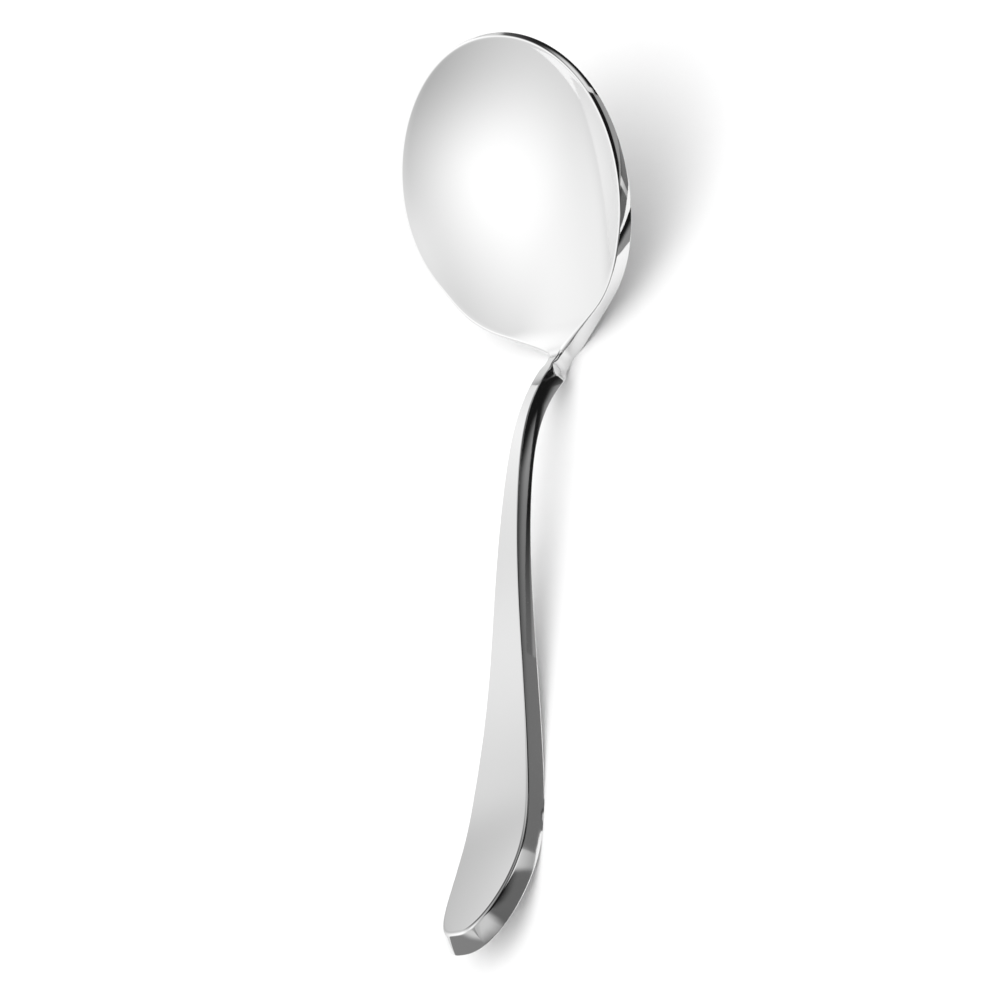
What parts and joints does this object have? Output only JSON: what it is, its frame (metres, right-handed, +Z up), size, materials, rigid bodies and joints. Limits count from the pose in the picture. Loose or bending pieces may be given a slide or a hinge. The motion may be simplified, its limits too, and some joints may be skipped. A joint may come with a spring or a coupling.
{
  "type": "round-bowl spoon",
  "caption": "One-piece polished steel spoon with a round shallow bowl, narrow neck and a bent handle that widens to a thick upturned end.",
  "frame": {"origin": "middle of the footprint on the table the spoon lies on", "axes": "+X along the spoon from handle end to bowl tip, +Y across the bowl, +Z up from the table"},
  "size_m": [0.2028, 0.0694, 0.0391],
  "materials": {
    "polished_steel": "mirror-polished stainless steel"
  },
  "bodies": {
    "root": {"spoon": "polished_steel"}
  },
  "joints": []
}
